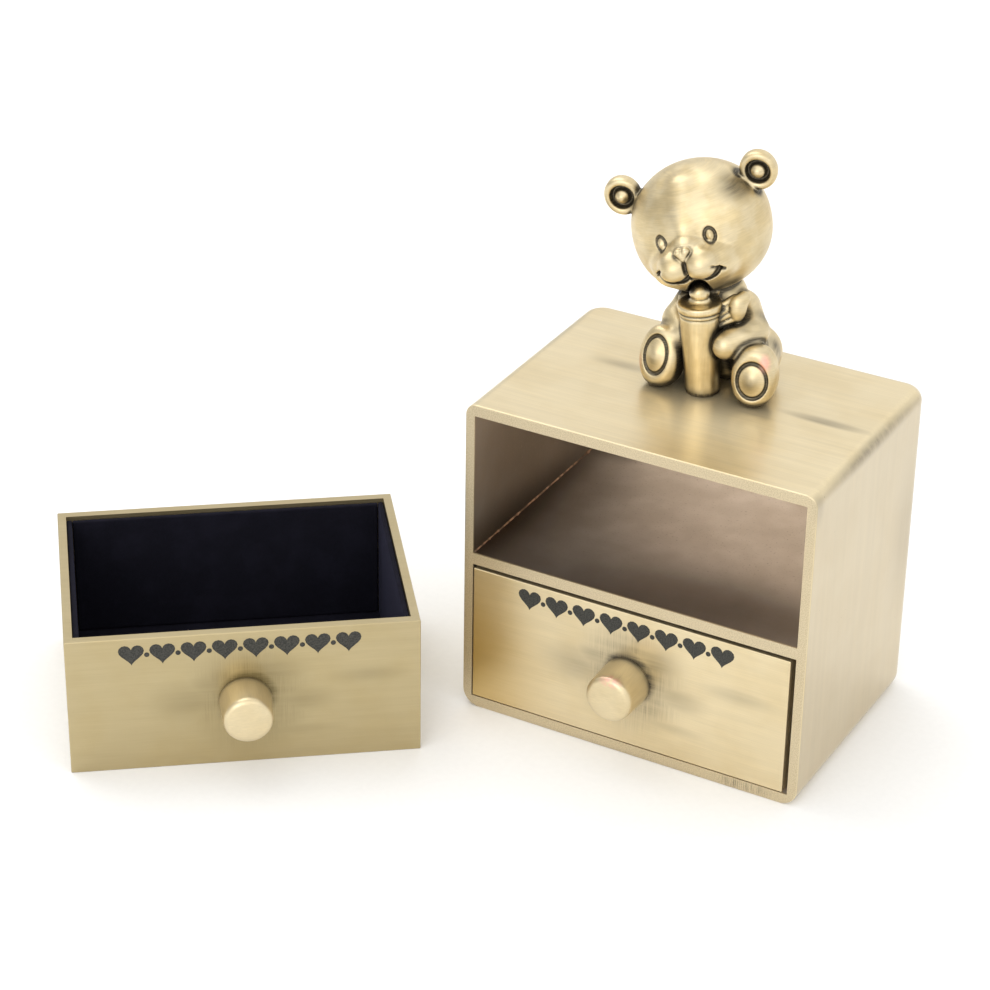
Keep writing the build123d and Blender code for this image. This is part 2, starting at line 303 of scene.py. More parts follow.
def bandFaces(bands, sides):
    # quads between closed rings of points that follow each other
    return [(row + k, row + (k + 1) % sides, row + (k + 1) % sides + sides, row + k + sides)
            for row in range(0, bands * sides, sides) for k in range(sides)]


def toMesh(name, points, faces, material, body, replaces=()):
    data = bpy.data.meshes.new(name)
    data.from_pydata((np.asarray(points, float) * mm).tolist(), [], [list(map(int, f)) for f in faces])
    data.validate()
    data.polygons.foreach_set("use_smooth", [True] * len(data.polygons))
    data.materials.append(material)
    made = place(name, data)
    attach(made, body)
    if replaces:
        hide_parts(*replaces)
    return made


def faceOutward(data):
    bm = bmesh.new()
    bm.from_mesh(data)
    bmesh.ops.recalc_face_normals(bm, faces=bm.faces)
    bm.to_mesh(data)
    bm.free()


# Stage and light

studio = {
    "floorSize": 4.0,
    "floorColour": (0.93, 0.93, 0.925, 1),
    "floorGrain": 10 / 9,
    "floorRough": 0.9,
    "sky": (0.58, 1.04),                # on the dim side and on the bright side
    "bright": (0.68, 0.45, 0.55),       # the way to the bright side
    "window": (0.06, -0.86, 0.50),      # the way to a broad bright patch in front
    "windowGlow": 0.75,
    # name, place, aim, size, power, in metres and watts
    "softboxes": (
        ("key", (-0.55, 0.15, 0.95), (0.0, 0.0, 0.04), (0.7, 0.9), 3.6),
        ("back", (-0.15, 0.95, 0.68), (0.0, 0.0, 0.04), (0.9, 0.6), 0.25),
        ("front", (0.05, -0.95, 0.42), (0.0, 0.0, 0.05), (0.5, 0.4), 1.2),
        ("right", (0.85, -0.35, 0.75), (0.0, 0.0, 0.06), (0.35, 0.5), 0.5),
    ),
}


def sheetMesh(name, corners):
    data = bpy.data.meshes.new(name)
    data.from_pydata([tuple(c) for c in corners], [], [(0, 1, 2, 3)])
    return data


def setFloor():
    half = studio["floorSize"] / 2
    data = sheetMesh("floor", [(x * half, y * half, 0) for x, y in ((-1, -1), (1, -1), (1, 1), (-1, 1))])
    material, at, _ = newMaterial("floorPaper")
    grain = fade(noise(at, studio["floorGrain"]), 0.3, 0.7, 0.985, 1.0)
    paint(material, shaded(studio["floorColour"], grain), studio["floorRough"], Specular_IOR_Level=0.1)
    data.materials.append(material)
    place("floor", data)


def setSky():
    world = bpy.data.worlds.new("studio")
    bpy.context.scene.world = world
    world.use_nodes = True
    sky = world.node_tree.nodes["Background"].inputs
    sky["Color"].default_value = (1, 1, 1, 1)
    way = Value(add(world.node_tree, "ShaderNodeTexCoord").outputs["Generated"])
    side, ahead = (vector("DOT_PRODUCT", way, studio[k], "Value") for k in ("bright", "window"))
    glow = fade(side, -0.7, 0.8, *studio["sky"]) + fade(ahead, 0.60, 0.95, 0.0, studio["windowGlow"])
    world.node_tree.links.new(glow.socket, sky["Strength"])
    bpy.context.scene.view_settings.view_transform = "Standard"


def setLamps():
    for name, stand, aim, sizes, power in studio["softboxes"]:
        light = bpy.data.lights.new(name, "AREA")
        light.shape, light.size, light.size_y, light.energy = "RECTANGLE", *sizes, power
        lamp = place(name, light)
        lamp.location = stand
        lamp.rotation_mode = "QUATERNION"
        lamp.rotation_quaternion = (Vector(aim) - Vector(stand)).to_track_quat("-Z", "Y")


setFloor()
setSky()
setLamps()
print("camera, floor and light are set")

# The bear, as fields of distance: lengths in millimetres, x and y of the row, z up from the cabinet's top

bearHead = {
    "centre": (-5.565, 9.45, 26.52),
    "turn": 12.0,
    "tilt": -19.0,
    # across, forward, up, then half sizes, and how softly it runs into the rest
    "skull": ((-0.1, 0, 0), (11.85, 10.5, 10.7)),
    "cheeks": ((0, 1.2, -3.0), (10.5, 9.3, 8.0), 2.5),
    "muzzle": ((0, 8.2, -3.5), (7.4, 4.75, 4.6), 0.9),
    "lobe": ((2.35, 11.4, -2.75), (2.4, 2.75, 2.2), 0.45),
    "brow": ((0, 9.8, 0.6), (2.0, 2.3, 1.9), 0.8),
    # the muzzle stands out as a ledge: its upper edge from the middle to the cheek, across and up
    "ledge": ((0, 1.75), (1.3, 1.45), (4.6, -0.35), (9.0, -3.4)),
    "ledgeHeight": 0.95,
    "ledgeEdge": 0.55,
    "ledgeEnds": (3.0, 9.5),       # it fades out towards the cheeks and below
    "ledgeFoot": (4.5, 8.0),
    "front": (3, 6),               # the face's marks begin this far forward, and are whole that far
    "bridge": ((0, 4.6, 8.2), (0, 8.9, 3.0)),
    "bridgeRadii": (1.25, 1.35),
    "bridgeBlend": 2.6,
    "chin": ((0, 6.4, -6.7), (4.6, 3.9, 2.4), 1.6),
    "nose": ((0.62, 13.45, 0.15), (0, 13.6, -1.0)),     # one of its two halves, meeting at its foot
    "noseRadii": (0.72, 0.46),
    "noseJoin": 0.3,
    "noseBlend": 0.46,
    "mouthSlope": 0.09,            # its left end sits a little higher
    # lines across and up, how wide and how deep they are cut: the smile from its corner, its dimple and
    # the line below the nose
    "smile": (((5.0, -3.55), (4.2, -4.4), (2.6, -4.95), (0.9, -4.8), (0, -4.2)), 0.62, 0.85),
    "dimple": (((4.35, -2.65), (5.65, -3.95)), 0.42, 0.5),
    "philtrum": (((0, -1.2), (0, -4.2)), 0.5, 0.29),
    "eye": (4.3, 10.0, 1.0),
    "eyeRing": (0.9, 1.2),
    "eyeLean": {-1: 20.0, 1: -3.0},
    "eyeRingWidth": 0.42,
    "eyeDepth": 0.32,
    "eyeRise": 0.4,
    "eyeBall": 0.85,               # how far out it reaches in its ring
    "ear": (12.05, -0.2, 7.1),
    "earLean": 3.0,
    "earSize": (3.15, 3.4),
    "earThickness": 2.9,
    "earRound": 1.1,
    "earGroove": 1.65,
    "earGrooveWidth": 0.6,
    "earGrooveDepth": 0.85,
    "earPadRise": 0.8,
    "earCup": 0.5,
    "earBlend": 0.5,
    "earPatina": 0.35,
    "earFace": (1, 1.5),           # how far forward it is, and how thick a layer counts as it
    "mouthRoom": 0.25,
    "mouthFlare": 0.1,
    "mouthWays": ((2.7, -6.0, -1.5), (2.5, -6.0, 3.1)),
    "mouthBlend": 0.5,
    "reach": (17.5, 16.5, 17.0),
    # darker patches on the face: across, forward, up, then half sizes and strength
    "patches": (
        ((8.3, 3.2, 6.2), (4.6, 4.6, 4.0), 0.85),
        ((-9.6, 1.5, 5.0), (3.2, 4.0, 3.2), 0.6),
        ((9.0, 3.0, -5.0), (4.0, 5.0, 4.0), 0.3),
    ),
}

bearBody = {
    "hips": ((0.0, 11.7, 4.8), (7.0, 7.0, 6.8)),
    "chest": ((-2.0, 10.4, 11.4), (5.2, 5.3, 7.2)),
    "trunkBlend": 3.0,
    "thigh": ((5.1, 10.2, 4.9), (8.0, 4.2, 5.1)),
    "thighRadii": (4.7, 3.75),
    "thighBlend": 1.0,
    # side, centre, turn, lean, the pad's half sizes and its lift
    "feet": (
        (-1, (-7.45, 0.8, 4.95), -10.0, 14.0, (2.2, 3.25), 0.3),
        (1, (9.25, 1.5, 5.15), 10.0, 8.0, (2.5, 3.05), -0.35),
    ),
    "footSize": (3.85, 5.35),
    "footThickness": 4.8,
    "footRound": 1.6,
    "footBlend": 0.9,
    "padGrooveWidth": 0.5,
    "padGrooveDepth": 0.42,
    "padRise": 0.65,
    "padEdges": (0.1, 0.95),
    "solePlane": (2.4, 1.2),       # how far forward it is, and how thick a layer counts as it
    "leftArm": ((2.5, 9.9, 12.4), (6.4, 5.4, 11.0), (3.95, 0.85, 9.7)),
    "rightArm": ((-5.4, 8.8, 13.0), (-6.8, 5.4, 9.8), (-4.2, 2.2, 9.2)),
    "armRadii": (3.2, 2.85, 2.45),
    "elbowBlend": 0.7,
    "armBlend": 0.6,
    "bowKnot": ((-1.5, 5.5, 16.6), (1.6, 1.6, 1.6)),
    "bowDrop": ((4.55, 3.0, 15.55), (1.55, 1.3, 2.5)),
    "bowLobe": ((5.1, 4.2, 17.2), (4.6, 3.4, 15.6)),
    "bowLobeRadii": (1.2, 1.2),
    "bowEnd": ((-5.3, 4.3, 14.6), (1.4, 1.3, 1.5)),
    "bowBlend": 0.25,
    "bowDropBlend": 0.8,
    "folds": (
        ((1.9, 2.3, 15.6), (4.0, 3.2, 17.3)),
        ((1.6, 1.8, 14.3), (4.1, 2.9, 16.2)),
        ((1.6, 1.7, 13.2), (4.2, 2.7, 15.1)),
        ((1.6, 1.8, 12.1), (4.4, 2.7, 14.0)),
    ),
    "foldRadii": (0.66, 0.72),
    "foldBlend": 0.1,
    "reach": ((-14, -5, 0), (16, 20, 19)),
    "dark": 0.45,
    # darker patches, partly patina and partly painted shade: centre, half sizes and strength
    "patches": (
        ((6.2, 3.8, 12.6), (3.6, 3.4, 1.9), 0.85),
        ((9.6, 8.6, 7.2), (3.4, 4.0, 3.4), 0.75),
        ((7.2, 6.6, 12.4), (3.2, 3.2, 3.2), 0.8),
        ((3.4, 3.6, 13.6), (2.4, 2.4, 3.0), 0.7),
        ((-6.2, 7.0, 11.5), (2.6, 3.5, 3.0), 0.6),
        ((6.5, 1.5, 9.0), (2.4, 2.6, 1.6), 0.5),
        ((9.7, -1.9, 4.9), (2.6, 1.6, 3.2), 0.62),
        ((-7.9, -2.4, 5.0), (2.2, 1.6, 3.2), 0.45),
        ((-5.2, 2.8, 15.0), (2.4, 2.6, 2.2), 0.9),
        ((7.6, 4.0, 11.6), (2.6, 2.4, 1.8), 0.5),
    ),
    "copper": (
        ((11.6, -0.6, 8.9), (1.6, 2.2, 2.8), 1.05),
        ((-11.3, -1.5, 3.2), (1.4, 1.8, 3.5), 0.5),
    ),
}

bottle = {
    "foot": (-0.1, 1.3, 0.0),
    "teat": (-1.45, 1.05, 17.85),
    "teatRadius": 1.68,
    # radius and height up the side, from the foot
    "outline": ((0.0, 0.0), (2.65, 0.0), (2.86, 0.12), (2.93, 0.4), (3.43, 13.8), (3.4, 14.0), (3.3, 14.1),
                (3.32, 14.22), (3.56, 14.32), (3.62, 14.55), (3.56, 14.78), (3.42, 14.88), (3.46, 14.98),
                (3.74, 15.08), (3.82, 15.4), (3.84, 15.9), (3.78, 16.15), (3.6, 16.3), (3.3, 16.36),
                (2.4, 16.4), (2.0, 16.5), (1.75, 16.72), (1.6, 16.95), (1.52, 17.15)),
    "sides": 128,
    "rings": 14,
    "longest": 0.35,       # of one face up the side
    # darker bands painted down its right and left sides as shade
    "patches": (
        ((2.7, 1.6, 7.0), (2.0, 2.3, 10.5), 0.9),
        ((-3.5, -0.4, 6.0), (1.0, 2.4, 9.0), 0.5),
    ),
    # its lines run up it, and it is smoother than the bear; its tone paints it lighter than the bear as
    # painted light
    "brushing": {"tone": 1.10, "sweep": (0.35, 0.35, 4.0), "bands": (2.4, 2.4, 16.0), "rough": 0.29,
                 "relief": 0.12},
}

meshStep = 0.18


def egg(p, centre, sizes):
    sizes = np.array(sizes, float)
    q = (p - np.array(centre, float)) / sizes
    far = np.linalg.norm(q, axis=1)
    return far * (far - 1) / (np.linalg.norm(q / sizes, axis=1) + 1e-9)


def limb(p, start, end, startRadius, endRadius):
    start, end = np.array(start, float), np.array(end, float)
    way = end - start
    along = np.clip((p - start) @ way / (way @ way), 0, 1)
    near = start + along[:, None] * way
    return np.linalg.norm(p - near, axis=1) - (startRadius + along * (endRadius - startRadius))


def melt(a, b, width):
    # both forms together, the crease between them filled over that width
    h = np.clip(0.5 + 0.5 * (b - a) / width, 0, 1)
    return b + (a - b) * h - width * h * (1 - h)


def carve(a, b, width):
    return -melt(-a, b, width)


def soft(x, low, high):
    t = np.clip((x - low) / (high - low), 0, 1)
    return t * t * (3 - 2 * t)


def groove(x, width):
    # one along the middle, falling smoothly to nothing at the width
    return 1 - soft(np.abs(x), 0, width)


def lineFar(x, y, points):
    # how far each place is from a line through the points, on a plane
    best = np.full(len(x), 1e9)
    for (ax, ay), (bx, by) in zip(points, points[1:]):
        wx, wy = bx - ax, by - ay
        t = np.clip(((x - ax) * wx + (y - ay) * wy) / (wx * wx + wy * wy), 0, 1)
        best = np.minimum(best, np.hypot(x - ax - t * wx, y - ay - t * wy))
    return best


def eased(points, steps=6):
    # a smooth line through the points
    padded = [points[0], *points, points[-1]]
    made = []
    for a, b, c, d in zip(padded, padded[1:], padded[2:], padded[3:]):
        a, b, c, d = (np.array(v, float) for v in (a, b, c, d))
        for t in np.arange(steps) / steps:
            made.append(0.5 * (2 * b + (c - a) * t + (2 * a - 5 * b + 4 * c - d) * t**2
                               + (3 * b - a - 3 * c + d) * t**3))
    return made + [np.array(points[-1], float)]


def onFace(across, forward, up):
    return np.array((across, -forward, up), float)


def turned(degrees, axis):
    return np.array(Matrix.Rotation(math.radians(degrees), 3, axis))


headTurn = turned(bearHead["turn"], "Z") @ turned(bearHead["tilt"], "Y")


def headPlace(p):
    return (p - np.array(bearHead["centre"])) @ headTurn


def plate(e, size, thickness, edge):
    # an oval plate with rounded edges: x across it, y through it, z up it
    inner = [half - edge for half in size]
    k = np.hypot(e[:, 0] / inner[0], e[:, 2] / inner[1])
    rim = k * (k - 1) / (np.hypot(e[:, 0] / inner[0] ** 2, e[:, 2] / inner[1] ** 2) + 1e-9)
    face = np.abs(e[:, 1]) - (thickness / 2 - edge)
    return np.minimum(np.maximum(rim, face), 0) + np.hypot(np.maximum(rim, 0), np.maximum(face, 0)) - edge


def earPlace(q, side):
    return (q - onFace(side * bearHead["ear"][0], *bearHead["ear"][1:])) @ turned(bearHead["earLean"], "X")


def earField(q, side):
    s, e = bearHead, earPlace(q, side)
    disc = plate(e, s["earSize"], s["earThickness"], s["earRound"])
    r = np.hypot(e[:, 0], e[:, 2])
    dip = s["earGrooveDepth"] * groove(r - s["earGroove"], s["earGrooveWidth"])
    dip -= s["earPadRise"] * (1 - soft(r, 0.2, s["earGroove"] - 0.2))
    dip += s["earCup"] * (1 - soft(r, s["earGroove"], s["earSize"][0]))
    return disc + (e[:, 1] < 0) * dip


def eyeDip(q, side):
    # a ring cut round the eye, which stands out in its middle
    s = bearHead
    centre = onFace(side * s["eye"][0], *s["eye"][1:])
    out = centre / np.linalg.norm(centre)
    up = np.array((0, 0, 1.0)) - out[2] * out
    up /= np.linalg.norm(up)
    across, lean = np.cross(up, out), math.radians(s["eyeLean"][side])
    along = up * math.cos(lean) - across * math.sin(lean)
    wide, high = s["eyeRing"]
    rho = np.hypot((q - centre) @ np.cross(along, out) / wide, (q - centre) @ along / high)
    ring = s["eyeDepth"] * groove((rho - 1) * (wide + high) / 2, s["eyeRingWidth"])
    ball = s["eyeRise"] * (1 - soft(rho, 0.0, s["eyeBall"]))
    return ((-q[:, 1] > s["front"][0]) & (rho < 3)) * (ring - ball)


def faceCuts(q):
    # the smile with its corners, and the line below the nose
    s, x, up = bearHead, q[:, 0], q[:, 2]
    level = up + s["mouthSlope"] * x
    cuts = 0
    for part, at in (("smile", (np.abs(x), level)), ("dimple", (np.abs(x), level)), ("philtrum", (x, up))):
        line, width, depth = s[part]
        cuts = cuts + depth * groove(lineFar(*at, eased(line) if part == "smile" else line), width)
    return soft(-q[:, 1], *s["front"]) * cuts


def headMarks(p):
    # where patina fills the carved lines of the head, from none to one
    s, q = bearHead, headPlace(p)
    marks = np.clip(faceCuts(q) / s["smile"][2], 0, 1)
    forward, thick = s["earFace"]
    for side in (1, -1):
        e = earPlace(q, side)
        ring = groove(np.hypot(e[:, 0], e[:, 2]) - s["earGroove"], s["earGrooveWidth"])
        marks = np.maximum(marks, np.where(np.abs(e[:, 1] + forward) < thick, s["earPatina"] * ring, 0))
        marks = np.maximum(marks, np.clip(eyeDip(q, side) / s["eyeDepth"], 0, 1))
    return marks


def mouthRoom(p):
    # where the teat goes in, open to the front
    s = bearHead
    radius = bottle["teatRadius"] + s["mouthRoom"]
    start = np.array(bottle["teat"]) + (0, 0, s["mouthRoom"])
    ways = (limb(p, start, start + way, radius, radius + s["mouthFlare"]) for way in s["mouthWays"])
    return np.minimum(*ways)


def headField(p):
    s, q = bearHead, headPlace(p)
    across, forward, up = np.abs(q[:, 0]), -q[:, 1], q[:, 2]
    d = egg(q, onFace(*s["skull"][0]), s["skull"][1])
    for part in ("cheeks", "muzzle", "chin", "brow"):
        centre, sizes, width = s[part]
        d = melt(d, egg(q, onFace(*centre), sizes), width)
    top, end = (onFace(*point) for point in s["bridge"])
    d = melt(d, limb(q, top, end, *s["bridgeRadii"]), s["bridgeBlend"])
    (lobeX, *lobePlace), sizes, width = s["lobe"]
    for side in (1, -1):
        d = melt(d, egg(q, onFace(side * lobeX, *lobePlace), sizes), width)
    brink = np.interp(across, *zip(*s["ledge"]))
    ledge = (soft(brink - up, -s["ledgeEdge"], s["ledgeEdge"]) * (1 - soft(across, *s["ledgeEnds"]))
             * (1 - soft(-up, *s["ledgeFoot"])))
    d = d - s["ledgeHeight"] * soft(forward, *s["front"]) * ledge + faceCuts(q)
    (wingX, *wingPlace), foot = s["nose"]
    wings = (limb(q, onFace(side * wingX, *wingPlace), onFace(*foot), *s["noseRadii"]) for side in (1, -1))
    d = melt(d, melt(*wings, s["noseJoin"]), s["noseBlend"])
    for side in (1, -1):
        d = melt(d + eyeDip(q, side), earField(q, side), s["earBlend"])
    return carve(d, mouthRoom(p), s["mouthBlend"])


def solePad(p, centre, turn, lean, pad, lift):
    # in a foot's own axes: the place, how far out on its pad, one at the rim, and the groove round that
    f = (p - np.array(centre)) @ (turned(turn, "Z") @ turned(-lean, "X"))
    out = np.hypot(f[:, 0] / pad[0], (f[:, 2] - lift) / pad[1])
    return f, out, groove((out - 1) * sum(pad) / 2, bearBody["padGrooveWidth"])


def bodyMarks(p):
    # where patina fills the groove round each sole's pad
    marks = np.zeros(len(p))
    forward, thick = bearBody["solePlane"]
    for _, *sole in bearBody["feet"]:
        f, _, ring = solePad(p, *sole)
        marks = np.maximum(marks, np.where(np.abs(f[:, 1] + forward) < thick, ring, 0))
    return marks


def legField(p, side, *sole):
    s, (f, out, ring) = bearBody, solePad(p, *sole)
    foot = plate(f, s["footSize"], s["footThickness"], s["footRound"])
    dip = s["padGrooveDepth"] * ring - s["padRise"] * (1 - soft(out, *s["padEdges"]))
    hip, knee = (np.array(joint) * (side, 1, 1) for joint in s["thigh"])
    return melt(limb(p, hip, knee, *s["thighRadii"]), foot + (f[:, 1] < 0) * dip, s["footBlend"])


def armField(p, shoulder, elbow, hand):
    top, middle, end = bearBody["armRadii"]
    upper, fore = limb(p, shoulder, elbow, top, middle), limb(p, elbow, hand, middle, end)
    return melt(upper, fore, bearBody["elbowBlend"])


def bodyField(p):
    s = bearBody
    d = melt(egg(p, *s["hips"]), egg(p, *s["chest"]), s["trunkBlend"])
    for arm in ("leftArm", "rightArm"):
        d = melt(d, armField(p, *s[arm]), s["armBlend"])
    for foot in s["feet"]:
        d = melt(d, legField(p, *foot), s["thighBlend"])
    knot = melt(egg(p, *s["bowKnot"]), egg(p, *s["bowEnd"]), s["bowBlend"])
    drop = melt(egg(p, *s["bowDrop"]), limb(p, *s["bowLobe"], *s["bowLobeRadii"]), s["bowDropBlend"])
    bow = np.minimum(knot, drop)
    for start, end in s["folds"]:
        bow = melt(bow, limb(p, start, end, *s["foldRadii"]), s["foldBlend"])
    return np.maximum(melt(d, bow, s["bowBlend"]), -p[:, 2])


def bottleField(p):
    foot, teat = np.array(bottle["foot"]), np.array(bottle["teat"])
    way = (teat - foot) / np.linalg.norm(teat - foot)
    z = (p - foot) @ way
    r = np.linalg.norm(p - foot - z[:, None] * way, axis=1)
    radii, heights = zip(*bottle["outline"][1:])
    wall = np.maximum((r - np.interp(z, heights, radii)) * 0.9, np.maximum(-z, z - heights[-1]))
    return np.minimum(wall, np.linalg.norm(p - teat, axis=1) - bottle["teatRadius"])


def bearField(p):
    # all of it with the cabinet's top, to find the creases
    return np.minimum(np.minimum(headField(p), bodyField(p)), np.minimum(bottleField(p), p[:, 2]))


def skin(field, low, high, step, rough=4):
    # a net of quads where the field is zero: a rough grid finds the cells, a fine one places them
    counts = [int(math.ceil((b - a) / (step * rough))) for a, b in zip(low, high)]
    low = np.array(low, float)
    cellMid = np.stack(np.meshgrid(*[np.arange(n) + 0.5 for n in counts], indexing="ij"), -1).reshape(-1, 3)
    far = field(low + cellMid * step * rough)
    near = np.abs(far) < step * rough * 1.6
    sign = np.where(far < 0, -1.0, 1.0).reshape(counts)
    values = np.ones([n * rough + 1 for n in counts]) * 9
    values[:-1, :-1, :-1] = 9 * sign.repeat(rough, 0).repeat(rough, 1).repeat(rough, 2)
    wanted = np.zeros(values.shape, bool)
    cells = np.argwhere(near.reshape(counts)) * rough
    for shift in np.ndindex(*[rough + 1] * 3):
        wanted[tuple((cells + shift).T)] = True
    values[wanted] = field(low + np.argwhere(wanted) * step)
    inside = values < 0
    a, b = slice(None, -1), slice(1, None)
    count = sum(inside[i, j, k].astype(np.int8) for i in (a, b) for j in (a, b) for k in (a, b))
    crossed = (count > 0) & (count < 8)
    ids = np.full(crossed.shape, -1)
    ids[crossed] = np.arange(crossed.sum())
    points = low + (np.argwhere(crossed) + 0.5) * step
    faces = []
    for axis in range(3):
        u, v = (axis + 1) % 3, (axis + 2) % 3
        first, second = [slice(1, -1)] * 3, [slice(1, -1)] * 3
        first[axis], second[axis] = a, b
        change = inside[tuple(first)].astype(np.int8) - inside[tuple(second)].astype(np.int8)
        at = np.argwhere(change != 0)
        at[:, [u, v]] += 1
        corners = []
        for back in ((1, 1), (0, 1), (0, 0), (1, 0)):
            corner = at.copy()
            corner[:, [u, v]] -= back
            corners.append(ids[tuple(corner.T)])
        quad = np.stack(corners, 1)
        flip = change[change != 0] < 0
        quad[flip] = quad[flip][:, ::-1]
        faces.append(quad)
    return points, np.concatenate(faces)


def slope(field, p, reach=0.03):
    return np.stack([(field(p + e) - field(p - e)) / (2 * reach) for e in np.eye(3) * reach], 1)


def outwardOf(field, p):
    g = slope(field, p)
    return g / np.maximum(np.linalg.norm(g, axis=1), 1e-9)[:, None]


def settle(field, p, limit, rounds=2):
    # moves each point onto the surface, no further than the limit
    start = p
    for _ in range(rounds):
        g = slope(field, p)
        p = p - (field(p) / np.maximum((g * g).sum(1), 0.05))[:, None] * g
        off = p - start
        far = np.linalg.norm(off, axis=1)[:, None]
        p = start + off * np.minimum(1, limit / np.maximum(far, 1e-9))
    return p


def relax(points, faces):
    # evens the net out a little
    pairs = np.concatenate([faces[:, [0, 1]], faces[:, [1, 2]], faces[:, [2, 3]], faces[:, [3, 0]]])
    pairs = np.concatenate([pairs, pairs[:, ::-1]])
    total = np.zeros_like(points)
    np.add.at(total, pairs[:, 0], points[pairs[:, 1]])
    number = np.bincount(pairs[:, 0], minlength=len(points))[:, None]
    return 0.5 * points + 0.5 * total / np.maximum(number, 1)


wearAndShade = {
    "reaches": ((0.3, 0.3), (0.8, 0.33), (2.2, 0.42)),    # how far off a crease is felt, and how much
    "edge": 0.5,
    "carved": 0.38,    # the patina added in carved lines
}


def storeWearAndShade(made, points, outward, carved=0.0):
    # how closed in each point is, which darkens it as patina and painted shade, and how much it stands out
    closed = np.zeros(len(points))
    for reach, share in wearAndShade["reaches"]:
        closed += share * np.clip((reach - bearField(points + outward * reach)) / reach, 0, 1)
    edge = wearAndShade["edge"]
    proud = np.clip((bearField(points - outward * edge) + edge) / edge, 0, 1)
    for name, values in (("crevice", closed + wearAndShade["carved"] * carved), ("ridge", proud * (1 - carved))):
        attribute = made.data.attributes.new(name, "FLOAT", "POINT")
        attribute.data.foreach_set("value", values.astype(np.float32))


def placeOnTop(points):
    return np.array(points) + (0, 0, topHeight)


def patchesOnTop(patches):
    return [(placeOnTop(centre), radii, strength) for centre, radii, strength in patches]


def castPiece(name, field, marks, low, high, material):
    points, faces = skin(field, low, high, meshStep)
    points = settle(field, points, meshStep)
    points = settle(field, relax(points, faces), meshStep)
    outward = outwardOf(field, points)
    points[:, 2] = np.maximum(points[:, 2], 0)
    made = toMesh(name + "_cast", placeOnTop(points), faces, material, "cabinet", [name])
    storeWearAndShade(made, points, outward, marks(points))
    print(name, len(faces) * 2, "triangles")


def finelyCut(outline, longest):
    # an outline with more points along it, up to its last one
    made = []
    for (r0, z0), (r1, z1) in zip(outline, outline[1:]):
        pieces = max(1, int(math.hypot(r1 - r0, z1 - z0) / longest))
        made += [(r0 + (r1 - r0) * k / pieces, z0 + (z1 - z0) * k / pieces) for k in range(pieces)]
    return made


def revolved(rim, foot, way, sides):
    # a closed turned form: radii and heights along an axis, with its first and last points on the axis
    way = np.array(way, float) / np.linalg.norm(way)
    side = np.cross(way, (0, 1.0, 0) if abs(way[1]) < 0.9 else (1.0, 0, 0))
    side /= np.linalg.norm(side)
    other = np.cross(way, side)
    spokes = [np.cos(a) * side + np.sin(a) * other for a in around(sides)]
    points = [foot + z * way + r * spoke for r, z in rim[1:-1] for spoke in spokes]
    points += [foot + rim[0][1] * way, foot + rim[-1][1] * way]
    last = (len(rim) - 3) * sides
    faces = bandFaces(len(rim) - 3, sides)
    for k in range(sides):
        faces.append((len(points) - 2, (k + 1) % sides, k))
        faces.append((last + k, last + (k + 1) % sides, len(points) - 1))
    return np.array(points), faces


def makeBottle(material):
    foot, way = np.array(bottle["foot"]), np.array(bottle["teat"]) - bottle["foot"]
    radius, rings = bottle["teatRadius"], bottle["rings"]
    rim = finelyCut(bottle["outline"], bottle["longest"])
    start = math.acos(bottle["outline"][-1][0] / radius)
    for k in range(rings + 1):
        angle = -start + (start + math.pi / 2) * k / rings
        rim.append((radius * math.cos(angle), np.linalg.norm(way) + radius * math.sin(angle)))
    points, faces = revolved(rim, foot, way, bottle["sides"])
    made = toMesh("feeding_bottle_turned", placeOnTop(points), faces, material, "cabinet", ["feeding_bottle"])
    faceOutward(made.data)
    storeWearAndShade(made, points, outwardOf(bottleField, points))


casting = {
    # sizes along the brush's turned axes: its fine streaks and its bands; then of the warm blotches
    "sweep": (2.2, 2.2, 0.10),
    "bands": (6, 6, 0.8),
    "blotch": 3.5,
    # where a place is closed in, its darkness is patina and painted shade
    "dark": 0.56,        # how closed in a place is where the patina is whole
    "tone": 1.0,
    "rough": 0.37,
    "relief": 0.4,
}


def castBrass(name, patches, turn=(0, 0, 0), copper=(), **changes):
    # brushed after casting: dark patina with painted shade stays in the creases, edges come up bright
    s = {**casting, **changes}
    material, at, _ = newMaterial(name)
    swept = spun(at, turn, "TEXTURE")
    fine, broad, blotch = noise(swept, s["sweep"]), noise(swept, s["bands"]), noise(at, s["blotch"], 3.0)
    crevice, edge = (Value(add(material.node_tree, "ShaderNodeAttribute", attribute_name=kind).outputs["Fac"])
                     for kind in ("crevice", "ridge"))
    # how closed in a place is darkens it: patina, and painted shade where parts and the top close in
    shadeAndStains = [fade(crevice + (blotch - 0.5) * 0.25, 0.08, s["dark"])]
    streaks = fade(broad, 0.3, 0.7, 0.5, 1.15)
    shadeAndStains += [spot(at, centre, radii) * streaks * strength for centre, radii, strength in patches]
    shadeAndStain = calc("MULTIPLY", strongest(shadeAndStains), fade(fine, 0.15, 0.75, 0.72, 1.1), clamp=True)
    colour = mix(fade(blotch, 0.35, 0.7), brass["bright"], brass["warm"])
    colour = mix(shadeAndStain, colour, brass["patinaAndShade"])
    colour = mix(fade(edge, 0.25, 0.8, 0.0, 0.5), colour, brass["bright"])
    for centre, radii, strength in copper:
        rub = spot(at, centre, radii) * fade(blotch, 0.25, 0.5, 0.4, 1.6)
        colour = mix(calc("MULTIPLY", rub, strength, clamp=True), colour, brass["copper"])
    value = fade(broad, 0.3, 0.75, 0.95, 1.03) * fade(fine, 0.25, 0.75, 0.92, 1.04) * s["tone"]
    roughness = fade(fine, 0.2, 0.8, s["rough"], s["rough"] + 0.08) + shadeAndStain * 0.10
    return paint(material, shaded(colour, value), roughness, Metallic=1.0,
                 Normal=relief(fine + broad * 0.4, s["relief"]))


